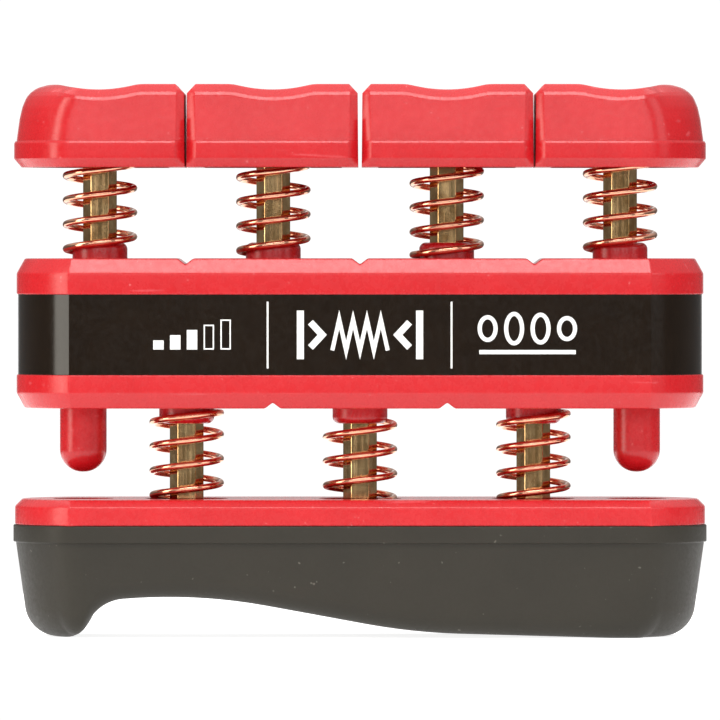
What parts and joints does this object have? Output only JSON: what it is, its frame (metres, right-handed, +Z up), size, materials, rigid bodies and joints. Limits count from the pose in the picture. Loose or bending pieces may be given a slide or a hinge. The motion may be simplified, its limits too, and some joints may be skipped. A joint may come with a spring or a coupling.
{
  "type": "finger exerciser",
  "caption": "Hand-held finger exerciser: a row of sprung finger buttons on a flat housing that slides on sprung rods above a contoured palm grip.",
  "frame": {"origin": "on the resting surface, under the centre of the palm grip", "axes": "+X along the row of finger buttons with the thumb arch on the -X side, +Y towards the back, +Z up from the palm grip to the finger buttons"},
  "size_m": [0.0832, 0.0232, 0.0661],
  "materials": {
    "red_plastic": "semi-gloss moulded plastic",
    "black_label": "printed satin film",
    "grip_plastic": "matte moulded plastic",
    "brass_rod": "bright drawn brass",
    "spring_wire": "bright copper-coloured plated spring wire",
    "zinc_steel": "zinc-plated steel"
  },
  "bodies": {
    "palm": {"palm_grip": "grip_plastic", "palm_cap": "red_plastic", "palm_rod_1": "brass_rod", "palm_rod_screw_1": "zinc_steel", "palm_rod_washer_1": "zinc_steel", "palm_spring_1": "spring_wire", "palm_rod_2": "brass_rod", "palm_rod_screw_2": "zinc_steel", "palm_rod_washer_2": "zinc_steel", "palm_spring_2": "spring_wire", "palm_rod_3": "brass_rod", "palm_rod_screw_3": "zinc_steel", "palm_rod_washer_3": "zinc_steel", "palm_spring_3": "spring_wire"},
    "housing": {"upper_housing": "red_plastic", "lower_housing": "red_plastic", "label_band": "black_label", "finger_spring_1": "spring_wire", "finger_spring_2": "spring_wire", "finger_spring_3": "spring_wire", "finger_spring_4": "spring_wire"},
    "finger_1": {"finger_button_1": "red_plastic", "finger_rod_1": "brass_rod", "finger_rod_screw_1": "zinc_steel", "finger_rod_washer_1": "zinc_steel"},
    "finger_2": {"finger_button_2": "red_plastic", "finger_rod_2": "brass_rod", "finger_rod_screw_2": "zinc_steel", "finger_rod_washer_2": "zinc_steel"},
    "finger_3": {"finger_button_3": "red_plastic", "finger_rod_3": "brass_rod", "finger_rod_screw_3": "zinc_steel", "finger_rod_washer_3": "zinc_steel"},
    "finger_4": {"finger_button_4": "red_plastic", "finger_rod_4": "brass_rod", "finger_rod_screw_4": "zinc_steel", "finger_rod_washer_4": "zinc_steel"}
  },
  "joints": [
    {"name": "housing_slide", "type": "slide", "parent": "palm", "child": "housing", "axis": [0, 0, -1], "range_m": [0, 0.01], "stiffness_N_per_m": 6000, "springref_m": -0.0015, "deforming": ["palm_spring_1", "palm_spring_2", "palm_spring_3"]},
    {"name": "finger_1_press", "type": "slide", "parent": "housing", "child": "finger_1", "axis": [0, 0, -1], "range_m": [0, 0.01], "stiffness_N_per_m": 2000, "springref_m": -0.002, "deforming": ["finger_spring_1"]},
    {"name": "finger_2_press", "type": "slide", "parent": "housing", "child": "finger_2", "axis": [0, 0, -1], "range_m": [0, 0.01], "stiffness_N_per_m": 2000, "springref_m": -0.002, "deforming": ["finger_spring_2"]},
    {"name": "finger_3_press", "type": "slide", "parent": "housing", "child": "finger_3", "axis": [0, 0, -1], "range_m": [0, 0.01], "stiffness_N_per_m": 2000, "springref_m": -0.002, "deforming": ["finger_spring_3"]},
    {"name": "finger_4_press", "type": "slide", "parent": "housing", "child": "finger_4", "axis": [0, 0, -1], "range_m": [0, 0.01], "stiffness_N_per_m": 2000, "springref_m": -0.002, "deforming": ["finger_spring_4"]}
  ]
}
